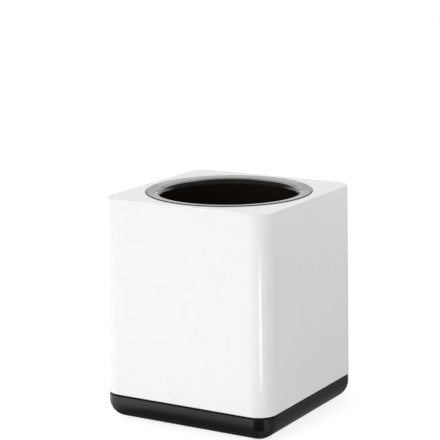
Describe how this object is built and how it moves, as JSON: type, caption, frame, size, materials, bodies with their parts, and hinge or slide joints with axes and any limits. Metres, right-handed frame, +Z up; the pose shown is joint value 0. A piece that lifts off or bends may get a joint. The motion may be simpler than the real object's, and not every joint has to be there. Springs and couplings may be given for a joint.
{
  "type": "pen cup",
  "caption": "Square pen cup: tapered gloss shell with a round flared cup let into its top, on a dark base with a rolled lower edge, screws under rubber feet.",
  "frame": {"origin": "centre of the square that the feet stand on, at table level", "axes": "+Z up along the cup's axis; +X and +Y square to two neighbouring sides of the shell, which are alike"},
  "size_m": [0.08, 0.08, 0.0957],
  "materials": {
    "shell_white": "polished white moulded plastic",
    "cup_black": "polished black moulded plastic",
    "base_black": "satin black moulded plastic",
    "screw_steel": "zinc-plated steel",
    "foot_rubber": "matt rubber"
  },
  "bodies": {
    "root": {"outer_shell": "shell_white", "cup_insert": "cup_black", "base": "base_black", "base_screw_1": "screw_steel", "base_screw_2": "screw_steel", "base_screw_3": "screw_steel", "base_screw_4": "screw_steel", "foot_1": "foot_rubber", "foot_2": "foot_rubber", "foot_3": "foot_rubber", "foot_4": "foot_rubber"}
  },
  "joints": []
}
